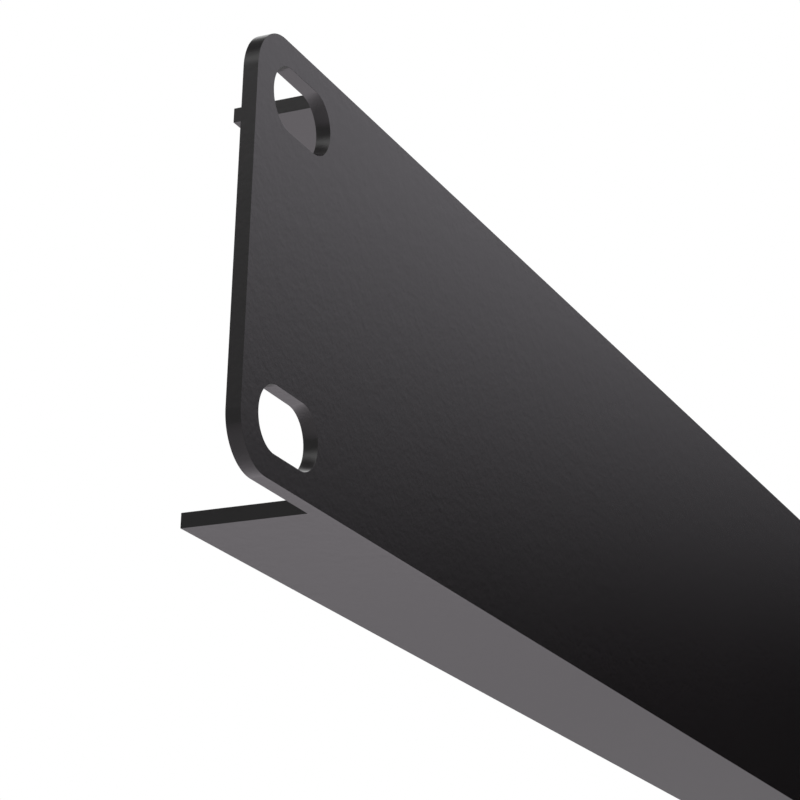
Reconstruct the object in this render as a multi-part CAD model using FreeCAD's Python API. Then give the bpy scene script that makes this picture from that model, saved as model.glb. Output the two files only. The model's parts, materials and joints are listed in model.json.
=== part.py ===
import FreeCAD, Part
import math
import os
from FreeCAD import Vector

# Blanking panel, one unit high, for a 19 inch rack: one steel sheet, folded to a channel between flat ears.
# Millimetres. Seen from the front, +X runs to the right along the panel, +Y to the rear and +Z up.
# The origin is the middle of the slot pattern, on the rear face that seats on the rack's rails.

# Driving dimensions
rack_unit = 44.45  # height of the place that the panel fills
unit_gap = 1.05  # left free of that height
hole_from_unit_edge = 6.35  # rail hole from the top or the bottom of its rack unit
panel_width = 483.0  # across both ears
sheet = 1.55  # thickness of the coated sheet
bottom_flange_depth = 15.1  # from the front face to the flange's rear edge
top_flange_depth = 11.7  # measured the same way
ear_width = 16.1  # flat end that stays outside the flanges
ear_corner_radius = 5.0
slot_from_end = 8.95  # slot centre from the end of the ear
slot_length = 11.5
slot_height = 6.5
fold_outside_radius = 0.3  # crisp outer corner of the folds, which runs on round the front of the ears
fold_inside_radius = 0.3
edge_break = 0.2  # rounding that the coat leaves on the other cut edges

# Sizes and places that follow from them
front_y = -sheet
rear_y = 0.0
top_tip_y = front_y + top_flange_depth
bottom_tip_y = front_y + bottom_flange_depth
half_height = (rack_unit - unit_gap) / 2
flange_face_z = half_height - sheet
half_width = panel_width / 2
flange_end_x = half_width - ear_width
slot_x = half_width - slot_from_end
slot_z = rack_unit / 2 - hole_from_unit_edge
slot_radius = slot_height / 2

# Lengths below this count as none
nearly = 1e-6


def rounded_face(corners):
    """Flat face inside (point, radius) corners, with a tangent arc at each corner that has a radius."""
    bends = []
    for index, (corner, radius) in enumerate(corners):
        back = (corners[index - 1][0] - corner).normalize()
        ahead = (corners[(index + 1) % len(corners)][0] - corner).normalize()
        inward = (back + ahead).normalize()
        half_angle = back.getAngle(ahead) / 2
        reach = radius / math.tan(half_angle)
        sagitta = radius / math.sin(half_angle) - radius
        bends.append((corner + back * reach, corner + inward * sagitta, corner + ahead * reach))
    edges = []
    for index, (start, middle, end) in enumerate(bends):
        next_start = bends[(index + 1) % len(bends)][0]
        if start.distanceToPoint(end) > nearly:
            edges.append(Part.Arc(start, middle, end).toShape())
        if end.distanceToPoint(next_start) > nearly:
            edges.append(Part.makeLine(end, next_start))
    return Part.Face(Part.Wire(edges))


def lies_at(shape, y):
    """Whether an edge or a face lies wholly in the plane at y."""
    return abs(shape.BoundBox.YMin - y) < nearly and abs(shape.BoundBox.YMax - y) < nearly


def make_channel():
    """Front plate and both flanges: the folded section, drawn once and run along the panel."""
    section = [
        (Vector(-flange_end_x, front_y, -half_height), fold_outside_radius),
        (Vector(-flange_end_x, front_y, half_height), fold_outside_radius),
        (Vector(-flange_end_x, top_tip_y, half_height), edge_break),
        (Vector(-flange_end_x, top_tip_y, flange_face_z), edge_break),
        (Vector(-flange_end_x, rear_y, flange_face_z), fold_inside_radius),
        (Vector(-flange_end_x, rear_y, -flange_face_z), fold_inside_radius),
        (Vector(-flange_end_x, bottom_tip_y, -flange_face_z), edge_break),
        (Vector(-flange_end_x, bottom_tip_y, -half_height), edge_break),
    ]
    return rounded_face(section).extrude(Vector(2 * flange_end_x, 0, 0))


def make_right_ear():
    """Flat ear with rounded outer corners, its cut edges broken all round but where it joins the channel."""
    outline = [
        (Vector(flange_end_x, front_y, -half_height), 0),
        (Vector(half_width, front_y, -half_height), ear_corner_radius),
        (Vector(half_width, front_y, half_height), ear_corner_radius),
        (Vector(flange_end_x, front_y, half_height), 0),
    ]
    ear = rounded_face(outline).extrude(Vector(0, sheet, 0))
    for y, radius in ((front_y, fold_outside_radius), (rear_y, edge_break)):
        free_edges = [e for e in ear.Edges if lies_at(e, y) and e.BoundBox.XMax > flange_end_x + nearly]
        ear = ear.makeFillet(radius, free_edges)
    return ear


def make_slot(x, z):
    """Round-ended slot through the sheet, its length along the panel."""
    corners = []
    for side, level in ((-1, -1), (1, -1), (1, 1), (-1, 1)):
        corner = Vector(x + side * slot_length / 2, front_y, z + level * slot_radius)
        corners.append((corner, slot_radius))
    return rounded_face(corners).extrude(Vector(0, sheet, 0))


def break_slot_mouths(panel):
    """Round the rims of the slots, which are the inner wires of the plate's front and rear faces."""
    for y in (front_y, rear_y):
        face = max((f for f in panel.Faces if lies_at(f, y)), key=lambda f: f.Area)
        mouths = [w for w in face.Wires if not w.isSame(face.OuterWire)]
        panel = panel.makeFillet(edge_break, [e for w in mouths for e in w.Edges])
    return panel


def make_panel():
    """The whole folded sheet: channel, both ears and four slots."""
    right_ear = make_right_ear()
    left_ear = right_ear.mirror(Vector(0, 0, 0), Vector(1, 0, 0))
    blank = make_channel().fuse([right_ear, left_ear]).removeSplitter()
    slots = [make_slot(x, z) for x in (-slot_x, slot_x) for z in (-slot_z, slot_z)]
    return break_slot_mouths(blank.cut(slots)).Solids[0]


os.makedirs("parts", exist_ok=True)
make_panel().exportStep("parts/blanking_panel.step")
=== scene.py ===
# %% [markdown]
# # A blanking panel, folded from one steel sheet
#
# A blanking panel closes an empty place in an equipment rack. The real one is a single sheet: cut to its
# outline, slotted at both ears, folded twice, then powder coated satin black. This lesson loads the sizes
# of the finished part, makes the sheet again as a fine mesh, gives it its coat, and lights it as it was
# pictured.

# %% Load the frame
import json
import math
import bmesh
import bpy
from mathutils import Matrix, Vector


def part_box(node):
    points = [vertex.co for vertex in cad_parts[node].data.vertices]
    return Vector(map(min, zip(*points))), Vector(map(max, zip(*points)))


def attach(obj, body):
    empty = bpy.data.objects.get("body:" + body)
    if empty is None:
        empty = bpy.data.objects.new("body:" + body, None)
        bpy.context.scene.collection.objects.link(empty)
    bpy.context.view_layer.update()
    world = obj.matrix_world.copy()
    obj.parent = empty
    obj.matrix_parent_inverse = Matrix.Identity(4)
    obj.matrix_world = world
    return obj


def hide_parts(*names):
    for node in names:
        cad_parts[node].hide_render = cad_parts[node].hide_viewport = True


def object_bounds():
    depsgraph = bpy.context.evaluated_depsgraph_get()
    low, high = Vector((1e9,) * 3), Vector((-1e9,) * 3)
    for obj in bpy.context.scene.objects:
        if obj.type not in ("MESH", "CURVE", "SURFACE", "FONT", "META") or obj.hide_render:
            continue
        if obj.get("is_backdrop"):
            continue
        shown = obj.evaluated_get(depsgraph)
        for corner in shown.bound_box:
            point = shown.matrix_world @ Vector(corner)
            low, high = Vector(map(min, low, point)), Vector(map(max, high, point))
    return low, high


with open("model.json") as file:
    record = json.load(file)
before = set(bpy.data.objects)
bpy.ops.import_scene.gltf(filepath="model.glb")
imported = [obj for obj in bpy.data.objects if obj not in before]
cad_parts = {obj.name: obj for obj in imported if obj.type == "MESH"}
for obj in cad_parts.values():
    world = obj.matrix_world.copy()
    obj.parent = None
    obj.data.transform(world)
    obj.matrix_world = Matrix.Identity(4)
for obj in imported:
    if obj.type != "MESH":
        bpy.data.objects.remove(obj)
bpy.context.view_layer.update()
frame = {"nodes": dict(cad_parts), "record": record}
MM = 0.001

# %% [markdown]
# ## Sizes come from the frame
#
# Nothing is measured twice. The box gives the overall sizes, the mount gives the slots, and the rest is
# read from the corners of the solid. The rear face of the plate lies at y = 0, so the sheet's thickness is
# how far the front stands before it, and only the flanges reach further to the rear than that thickness.
# Two roundings are given. The hollow of the folds is as on the solid. The edges are kept crisper than
# there, because the picture shows no bright line along them.

# %% Read the sizes
low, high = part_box("blanking_panel")
corners = [vertex.co for vertex in frame["nodes"]["blanking_panel"].data.vertices]
slots = next(m for m in frame["record"]["mounts"] if m["name"] == "rail_slots")["dims"]
sheet = -low.y
half_height = high.z
bottom_tip_y = high.y
top_tip_y = max(c.y for c in corners if c.z > 0)
flange_end_x = max(c.x for c in corners if c.y > sheet)
near_end_x = high.x - sheet / 100  # corners beyond it lie on the straight end of the ear
corner_radius = half_height - max(c.z for c in corners if c.x > near_end_x)
fold_radius = 0.3 * MM
edge_radius = 0.03 * MM
print("sheet, flange tips, flange end, corner in mm:",
      [round(s / MM, 2) for s in (sheet, bottom_tip_y, top_tip_y, flange_end_x, corner_radius)])

# %% [markdown]
# ## Helpers for node trees
#
# Both the shape and the finishes below are node trees. The first function adds one node of any kind: its
# settings go in by name, and each input takes a plain value, the output of another node, or a list of such
# outputs. The second one gives a finish or the room an empty tree to start from.

# %% Node helpers
def add(tree, kind, inputs=None, **settings):
    node = tree.nodes.new(kind)
    for name, value in settings.items():
        setattr(node, name, value)
    for key, value in (inputs or {}).items():
        for source in value if isinstance(value, list) else [value]:
            if isinstance(source, bpy.types.NodeSocket):
                tree.links.new(source, node.inputs[key])
            else:
                node.inputs[key].default_value = source
    return node


def empty_tree(owner):
    owner.use_nodes = True
    owner.node_tree.nodes.clear()
    return owner.node_tree

# %% [markdown]
# ## The coat: satin black powder on steel
#
# Powder is sprayed on dry and melts to one skin in the oven. It is a plastic, so there is no metal in its
# look, and it keeps three marks of its making: a slow swell known as orange peel, a fine grain where the
# powder melted, and a film that is a little thicker in some places than in others. An image could paint
# them, but they only bend the light, so three noise patterns are enough: two as bump, and one that moves
# the gloss.

# %% Powder coat
film_width = 45 * MM
least_roughness = 0.18
most_roughness = 0.22
peel_width = 1.5 * MM
peel_height = 0.010 * MM
grain_width = 0.5 * MM  # real grains are under 0.1 mm and wouldn't show, so they are drawn coarser
grain_height = 0.0075 * MM
coat_ior = 1.65  # such resins have about 1.5, and a little more suits this coat's strong sheen at low angles


def linear(hex_colour):
    """Linear colour of an sRGB hex value."""
    channels = [int(hex_colour[i:i + 2], 16) / 255 for i in (1, 3, 5)]
    red, green, blue = [c / 12.92 if c <= 0.04045 else ((c + 0.055) / 1.055) ** 2.4 for c in channels]
    return red, green, blue, 1.0


def make_powder_coat():
    """Polyester powder, baked on. The eye gets a near black skin, its sheen growing at low angles."""
    material = bpy.data.materials.new("satin_black_powder_coat")
    tree = empty_tree(material)
    place = add(tree, "ShaderNodeTexCoord").outputs["Object"]
    film = add(tree, "ShaderNodeTexNoise", {"Vector": place, "Scale": 1 / film_width, "Detail": 2.0})
    gloss = add(tree, "ShaderNodeMapRange",
                {"Value": film.outputs["Fac"], "To Min": least_roughness, "To Max": most_roughness})
    peel = add(tree, "ShaderNodeTexNoise", {"Vector": place, "Scale": 1 / peel_width, "Detail": 1.0})
    swell = add(tree, "ShaderNodeBump",
                {"Height": peel.outputs["Fac"], "Strength": 1.0, "Distance": peel_height})
    grain = add(tree, "ShaderNodeTexNoise", {"Vector": place, "Scale": 1 / grain_width, "Detail": 1.0})
    skin = add(tree, "ShaderNodeBump",
               {"Height": grain.outputs["Fac"], "Strength": 1.0, "Distance": grain_height,
                "Normal": swell.outputs["Normal"]})
    coat = add(tree, "ShaderNodeBsdfPrincipled",
               {"Base Color": linear("#131112"), "IOR": coat_ior,
                "Roughness": gloss.outputs["Result"], "Normal": skin.outputs["Normal"]})
    add(tree, "ShaderNodeOutputMaterial", {"Surface": coat.outputs["BSDF"]})
    return material


powder_coat = make_powder_coat()
print("finish:", powder_coat.name, "with", len(powder_coat.node_tree.nodes), "nodes")

# %% [markdown]
# ## The flat blank
#
# The plate with its ears is one outline with four equal slots, so a small Geometry Nodes tree draws it: two
# rectangles with filleted corners, the smaller one set on the corners of a two by two grid. Fill Curve turns
# the outlines to one face with holes, and Extrude gives it the sheet's thickness. A boolean could cut the
# slots too, but outlines that are filled together leave a cleaner mesh.

# %% Tree of the blank
merge_distance = 0.01 * MM


def rounded_rectangle(tree, width, height, radius, arc_points):
    """Outline with an arc at each corner, as the output of its last node."""
    straight = add(tree, "GeometryNodeCurvePrimitiveQuadrilateral", {"Width": width, "Height": height})
    rounded = add(tree, "GeometryNodeFilletCurve",
                  {"Curve": straight.outputs[0], "Count": arc_points,
                   "Radius": radius, "Limit Radius": True}, mode="POLY")
    return rounded.outputs[0]


def make_blank_tree():
    tree = bpy.data.node_groups.new("slotted_blank", "GeometryNodeTree")
    for name in ("Width", "Height", "Sheet", "Corner radius",
                 "Slot length", "Slot height", "Slot spacing", "Slot pitch"):
        tree.interface.new_socket(name, in_out="INPUT", socket_type="NodeSocketFloat")
    tree.interface.new_socket("Arc points", in_out="INPUT", socket_type="NodeSocketInt")
    tree.interface.new_socket("Coat", in_out="INPUT", socket_type="NodeSocketMaterial")
    tree.interface.new_socket("Geometry", in_out="OUTPUT", socket_type="NodeSocketGeometry")
    size = add(tree, "NodeGroupInput").outputs
    outline = rounded_rectangle(tree, size["Width"], size["Height"],
                                size["Corner radius"], size["Arc points"])
    end = add(tree, "ShaderNodeMath", {0: size["Slot height"], 1: 0.5}, operation="MULTIPLY").outputs[0]
    slot = rounded_rectangle(tree, size["Slot length"], size["Slot height"], end, size["Arc points"])
    grid = add(tree, "GeometryNodeMeshGrid",
               {"Size X": size["Slot spacing"], "Size Y": size["Slot pitch"],
                "Vertices X": 2, "Vertices Y": 2})
    copies = add(tree, "GeometryNodeInstanceOnPoints", {"Points": grid.outputs[0], "Instance": slot})
    four = add(tree, "GeometryNodeRealizeInstances", {"Geometry": copies.outputs[0]})
    curves = add(tree, "GeometryNodeJoinGeometry", {"Geometry": [outline, four.outputs[0]]})
    face = add(tree, "GeometryNodeFillCurve", {"Curve": curves.outputs[0]}, mode="NGONS")
    front = add(tree, "GeometryNodeExtrudeMesh",
                {"Mesh": face.outputs[0], "Offset Scale": size["Sheet"], "Individual": False})
    rear = add(tree, "GeometryNodeFlipFaces", {"Mesh": face.outputs[0]})
    shell = add(tree, "GeometryNodeJoinGeometry", {"Geometry": [front.outputs[0], rear.outputs[0]]})
    closed = add(tree, "GeometryNodeMergeByDistance",
                 {"Geometry": shell.outputs[0], "Distance": merge_distance})
    upright = add(tree, "GeometryNodeTransform",
                  {"Geometry": closed.outputs[0], "Rotation": (math.pi / 2, 0, 0)})
    smooth = add(tree, "GeometryNodeSetShadeSmooth", {"Geometry": upright.outputs[0]})
    real = add(tree, "GeometryNodeRealizeInstances", {"Geometry": smooth.outputs[0]})
    coated = add(tree, "GeometryNodeSetMaterial", {"Geometry": real.outputs[0], "Material": size["Coat"]})
    add(tree, "NodeGroupOutput", {"Geometry": coated.outputs[0]})
    return tree


blank_tree = make_blank_tree()
print("blank tree:", len(blank_tree.nodes), "nodes")

# %% [markdown]
# ## Sizes go into the tree
#
# A modifier knows a tree's inputs by their identifiers, so the sizes are paired with those by name, before
# the blank is first evaluated. A Bevel modifier then takes the sharpness off the cut edges, as the coat
# does. It works on the blank alone: after the flanges are joined on, it would also open the folds' inner
# corners.

# %% Set the blank's sizes
arc_points = 20
sharp_turn = math.radians(40)
blank = bpy.data.objects.new("blank", bpy.data.meshes.new("blank"))
bpy.context.scene.collection.objects.link(blank)
drawn = blank.modifiers.new("drawn", "NODES")
drawn.node_group = blank_tree
blank_sizes = {
    "Width": high.x - low.x,
    "Height": high.z - low.z,
    "Sheet": sheet,
    "Corner radius": corner_radius,
    "Slot length": slots["slot_length_mm"] * MM,
    "Slot height": 2 * slots["hole_r_mm"] * MM,
    "Slot spacing": slots["spacing_x_mm"] * MM,
    "Slot pitch": slots["spacing_y_mm"] * MM,
    "Arc points": arc_points,
    "Coat": powder_coat,
}
for item in blank_tree.interface.items_tree:
    if item.in_out == "INPUT":
        drawn[item.identifier] = blank_sizes[item.name]
breaks = blank.modifiers.new("edge_breaks", "BEVEL")
breaks.width = edge_radius
breaks.segments = 2
breaks.angle_limit = sharp_turn
breaks.use_clamp_overlap = False
breaks.loop_slide = False
lengths = {name: size for name, size in blank_sizes.items() if isinstance(size, float)}
print("blank in mm:", {name: round(length / MM, 2) for name, length in lengths.items()})

# %% [markdown]
# ## The two flanges
#
# Each flange is the same small section run along the panel: flat outside, the rear edge a little rounded,
# and a small hollow radius where it turns into the plate. A section of straight runs and arcs is quick to
# list in mesh code, so it is drawn as one face and pulled out to its length. It starts inside the sheet, so
# that the two solids overlap and join cleanly.

# %% Flanges
def arc(centre_y, centre_z, radius, start, end, steps=4):
    """Points of an arc between two angles in degrees."""
    angles = [math.radians(start + (end - start) * step / steps) for step in range(steps + 1)]
    return [(centre_y + radius * math.cos(a), centre_z + radius * math.sin(a)) for a in angles]


def make_flange(name, tip_y, side):
    """Flange of the bottom fold where side is -1, and of the top fold where it is 1."""
    inner = half_height - sheet
    section = [(-sheet / 2, -half_height)]
    section += arc(tip_y - edge_radius, -half_height + edge_radius, edge_radius, -90, 0)
    section += arc(tip_y - edge_radius, -inner - edge_radius, edge_radius, 0, 90)
    section += arc(fold_radius, -inner + fold_radius, fold_radius, 270, 180)
    section += [(-sheet / 2, -inner + fold_radius)]
    mesh = bmesh.new()
    face = mesh.faces.new([mesh.verts.new((-flange_end_x, y, -side * z)) for y, z in section])
    pulled = bmesh.ops.extrude_face_region(mesh, geom=[face], use_keep_orig=True)["geom"]
    far_end = [v for v in pulled if isinstance(v, bmesh.types.BMVert)]
    bmesh.ops.translate(mesh, vec=(2 * flange_end_x, 0, 0), verts=far_end)
    bmesh.ops.recalc_face_normals(mesh, faces=mesh.faces)
    for f in mesh.faces:
        f.smooth = True
    flange = bpy.data.objects.new(name, bpy.data.meshes.new(name))
    mesh.to_mesh(flange.data)
    mesh.free()
    flange.data.materials.append(powder_coat)
    bpy.context.scene.collection.objects.link(flange)
    return flange


flanges = [make_flange("bottom_flange", bottom_tip_y, side=-1), make_flange("top_flange", top_tip_y, side=1)]
print("flanges in mm:", {f.name: [round(d / MM, 2) for d in f.dimensions] for f in flanges})

# %% [markdown]
# ## One sheet
#
# On the real panel nothing is joined: plate and flanges are the same sheet. Turning the blank upright left
# its points a hair off, which would give slivers where it should be flush with the flanges, so they are
# rounded first. Two exact unions then make the meshes one closed skin, a weld clears the doubled points that
# they leave, and edges that turn by more than the small roundings do are marked sharp. Weighted normals keep
# the large faces flat, so that a broad reflection runs over them without a ripple. For that, those faces
# stay whole: triangles would give their corners less weight.

# %% Join the sheet
rounded_decimals = 4  # of a millimetre
weld_distance = 0.001 * MM


def plain_mesh(source):
    """Mesh of an object as its modifiers leave it."""
    graph = bpy.context.evaluated_depsgraph_get()
    return bpy.data.meshes.new_from_object(source.evaluated_get(graph), depsgraph=graph)


blank.data = plain_mesh(blank)
blank.modifiers.clear()
for point in blank.data.vertices:
    point.co = [round(c / MM, rounded_decimals) * MM for c in point.co]
for flange in flanges:
    union = blank.modifiers.new(flange.name, "BOOLEAN")
    union.operation = "UNION"
    union.solver = "EXACT"
    union.object = flange
weld = blank.modifiers.new("weld", "WELD")
weld.merge_threshold = weld_distance
panel = bpy.data.objects.new("folded_panel", plain_mesh(blank))
for helper in [blank] + flanges:
    bpy.data.objects.remove(helper)
bpy.context.scene.collection.objects.link(panel)
panel.data.materials.clear()
panel.data.materials.append(powder_coat)
panel.data.set_sharp_from_angle(angle=sharp_turn)
even = panel.modifiers.new("even_shading", "WEIGHTED_NORMAL")
even.keep_sharp = True
even.weight = 100  # 50 is neutral, and more favours the large faces
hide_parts("blanking_panel")
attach(panel, "root")
print("panel:", len(panel.data.vertices), "points,", len(panel.data.polygons), "faces")

# %% [markdown]
# ## Camera
#
# The picture was taken from beyond the left ear and from below, so the camera stands low, close to that
# ear, and looks up along the panel. It is turned by three plain angles: a heading from the rear towards
# the right, a rise, and a slight roll.

# %% Camera
camera = bpy.data.objects.new("camera", bpy.data.cameras.new("camera"))
bpy.context.scene.collection.objects.link(camera)
camera.data.lens = 113.629
camera.data.sensor_width = 36
camera_place = Vector((-422.386, -105.107, -90.44)) * MM
heading, rise, roll = (math.radians(a) for a in (64.032, 19.758, 1.622))
turn = Matrix.Rotation(-heading, 4, "Z") @ Matrix.Rotation(math.pi / 2 + rise, 4, "X")
turn = turn @ Matrix.Rotation(roll, 4, "Z")
camera.matrix_world = Matrix.Translation(camera_place) @ turn
bpy.context.scene.camera = camera
print("camera looks along", [round(c, 3) for c in turn @ Vector((0, 0, -1))])

# %% [markdown]
# ## A white studio
#
# A black object is shown by what it mirrors, so its light is planned as a set of things to mirror. The room
# is white all round. A bright lamp behind the panel would also give white, but it would light the panel too.
# Light Path is better: rays from the camera and mirror rays meet full white, and the light that the room
# sheds on the panel stays at a plain level.

# %% White studio
def make_world(fill_level):
    """White room that is seen at full strength and sheds light at fill_level."""
    world = bpy.data.worlds.new("white_studio")
    tree = empty_tree(world)
    ray = add(tree, "ShaderNodeLightPath").outputs
    mirror = add(tree, "ShaderNodeMath", {0: ray["Is Glossy Ray"], 1: ray["Is Transmission Ray"]},
                 operation="MAXIMUM")
    seen = add(tree, "ShaderNodeMath", {0: ray["Is Camera Ray"], 1: mirror.outputs[0]}, operation="MAXIMUM")
    fill = add(tree, "ShaderNodeBackground", {"Color": linear("#FFFFFF"), "Strength": fill_level})
    white = add(tree, "ShaderNodeBackground", {"Color": linear("#FFFFFF"), "Strength": 1.0})
    both = add(tree, "ShaderNodeMixShader", {0: seen.outputs[0], 1: fill.outputs[0], 2: white.outputs[0]})
    add(tree, "ShaderNodeOutputWorld", {"Surface": both.outputs[0]})
    return world


bpy.context.scene.world = make_world(fill_level=0.6)
bpy.context.scene.view_settings.view_transform = "Standard"
print("world:", bpy.context.scene.world.name)

# %% [markdown]
# ## Floor
#
# The floor is a disc of matt white paint well below the panel. It carries the panel's soft shadow, and the
# undersides of both flanges mirror it, which makes them the palest faces. A sheet with a hard rim would show
# that rim as a line in the flanges, so the paint thins out to clear. Its faint violet tints what mirrors it.
# Backfacing leaves it clear from below, so that it never hides the panel from a low place.

# %% Floor
floor_radius = 0.94
floor_place = (0.47, 0.34, -0.45)


def make_matt(name, colour, across, start, end, beyond="#FFFFFF"):
    """Matt finish on one side, which thins out to clear between two lengths along the axes in across.

    The colour in beyond tints what shows through.
    """
    material = bpy.data.materials.new(name)
    tree = empty_tree(material)
    place = add(tree, "ShaderNodeTexCoord").outputs["Object"]
    along = add(tree, "ShaderNodeVectorMath", {0: place, 1: across}, operation="MULTIPLY")
    length = add(tree, "ShaderNodeVectorMath", {0: along.outputs["Vector"]}, operation="LENGTH")
    gone = add(tree, "ShaderNodeMapRange",
               {"Value": length.outputs["Value"], "From Min": start, "From Max": end},
               interpolation_type="SMOOTHSTEP")
    matt = add(tree, "ShaderNodeBsdfDiffuse", {"Color": linear(colour)})
    clear = add(tree, "ShaderNodeBsdfTransparent", {"Color": linear(beyond)})
    behind = add(tree, "ShaderNodeNewGeometry").outputs["Backfacing"]
    bare = add(tree, "ShaderNodeMath", {0: gone.outputs["Result"], 1: behind}, operation="MAXIMUM")
    faded = add(tree, "ShaderNodeMixShader", {0: bare.outputs[0], 1: matt.outputs[0], 2: clear.outputs[0]})
    add(tree, "ShaderNodeOutputMaterial", {"Surface": faded.outputs[0]})
    return material


def make_stage_piece(name, mesh, place, finish):
    """Object for a stage mesh, with its finish."""
    piece = bpy.data.objects.new(name, bpy.data.meshes.new(name))
    mesh.to_mesh(piece.data)
    mesh.free()
    piece.location = place
    piece.data.materials.append(finish)
    bpy.context.scene.collection.objects.link(piece)
    piece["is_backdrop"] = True
    return piece


def make_disc(name, radius, place, finish):
    """Round flat sheet."""
    mesh = bmesh.new()
    bmesh.ops.create_circle(mesh, cap_ends=True, segments=96, radius=radius)
    return make_stage_piece(name, mesh, place, finish)


white_paint = make_matt("matt_white_paint", "#FAF3FA", across=(1, 1, 0), start=0.2, end=floor_radius)
floor = make_disc("floor", floor_radius, floor_place, white_paint)
print("floor:", 2 * floor_radius, "m across, at height", floor_place[2])

# %% [markdown]
# ## Drapes, ground and cards
#
# Photographers hang dark cloth where a glossy face should stay dark. To the right before the panel hangs
# black velvet: low down the front mirrors the cloth, higher up the white above it, and because the cloth
# thins out upwards, the front goes slowly from black to grey. Grey wool closes the ring, and below lies a
# grey carpet, faintly violet as the floor is. A grey card overhead is for the rounded ends of slots and
# ears, and a white one before the left end puts a sheen on the front where it is seen straight on. All are
# for mirror rays only: the camera doesn't see them, and they keep no light from the panel.

# %% Drapes, ground and cards
drape_radius = 6.0
drape_height = 8.0
drape_foot = (0.35, 0.4, -1.0)
bearing_step = 3
overhead_radius = 2.4
overhead_place = (-0.34, 1.27, 2.7)
side_radius = 1.4
side_place = (-1.37, -3.76, 0.2)


def make_drape(name, start, end, finish):
    """Part of a ring of cloth between two bearings, in degrees from +X towards the rear."""
    mesh = bmesh.new()
    bearings = [math.radians(b) for b in range(start, end + 1, bearing_step)]
    feet = [mesh.verts.new((drape_radius * math.cos(b), drape_radius * math.sin(b), 0)) for b in bearings]
    tops = [mesh.verts.new(foot.co + Vector((0, 0, drape_height))) for foot in feet]
    for i in range(len(feet) - 1):
        mesh.faces.new((tops[i], tops[i + 1], feet[i + 1], feet[i]))
    return make_stage_piece(name, mesh, drape_foot, finish)


def make_card(name, radius, place, finish):
    """Disc that is turned to face the panel."""
    card = make_disc(name, radius, place, finish)
    card.rotation_euler = card.location.to_track_quat("-Z", "Y").to_euler()
    return card


velvet = make_matt("black_velvet", "#040404", across=(0, 0, 1), start=2.42, end=4.6, beyond="#E2DEE5")
wool = make_matt("grey_wool", "#A6A6A6", across=(0, 0, 1), start=2.6, end=6.2)
carpet = make_matt("grey_carpet", "#BFBABF", across=(1, 1, 0), start=5.9, end=drape_radius)
grey_board = make_matt("grey_board", "#686868", across=(1, 1, 0), start=0.5, end=overhead_radius)
white_board = make_matt("white_board", "#F0F0F0", across=(1, 1, 0), start=0.3, end=side_radius)
flags = [
    make_drape("black_drape", start=-45, end=0, finish=velvet),
    make_drape("grey_drape", start=0, end=315, finish=wool),
    make_disc("ground", drape_radius, drape_foot, carpet),
    make_card("overhead_card", overhead_radius, overhead_place, grey_board),
    make_card("side_card", side_radius, side_place, white_board),
]
print("flags:", [flag.name for flag in flags])

# %% [markdown]
# ## The panel in its own mirror
#
# In the picture the walls of the slots mirror the room, not the flange behind them, so the panel is left out
# of mirror rays. One such image is wanted back: the lower end of the upper slot is dark, because it mirrors
# the top flange. A strip inside the thickness of that flange, met by mirror rays alone, stands in for it.

# %% Strip in the top flange
panel.visible_glossy = False
strip_z = half_height - sheet / 2
strip_outline = [(-flange_end_x, 0), (-flange_end_x, top_tip_y),
                 (flange_end_x, top_tip_y), (flange_end_x, 0)]
strip_mesh = bmesh.new()
strip_mesh.faces.new([strip_mesh.verts.new((x, y, strip_z)) for x, y in strip_outline])
flags.append(make_stage_piece("flange_strip", strip_mesh, (0, 0, 0), powder_coat))
for flag in flags:
    flag.visible_camera = False
    flag.visible_diffuse = False
    flag.visible_shadow = False
print("met by mirror rays alone:", [flag.name for flag in flags])

# %% [markdown]
# ## Softbox
#
# One large round softbox, high up before the left ear, gives the light a direction and the floor its shadow.
# A small lamp would throw a hard shadow. The wide disc keeps it soft.

# %% Softbox
softbox = bpy.data.objects.new("softbox", bpy.data.lights.new("softbox", "AREA"))
softbox.data.shape = "DISK"
softbox.data.size = 2.6
softbox.data.energy = 92
softbox.location = (-1.11, -1.58, 2.3)
softbox.rotation_euler = softbox.location.to_track_quat("Z", "Y").to_euler()
bpy.context.scene.collection.objects.link(softbox)
print("softbox:", round(softbox.data.size, 2), "m across,", round(softbox.location.length, 2), "m away")

# %% [markdown]
# ## Close the lesson
#
# The box of the finished mesh is printed in millimetres.

# %% Finish
low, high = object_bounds()
print("box in mm:", [round(c / MM, 3) for c in high - low])
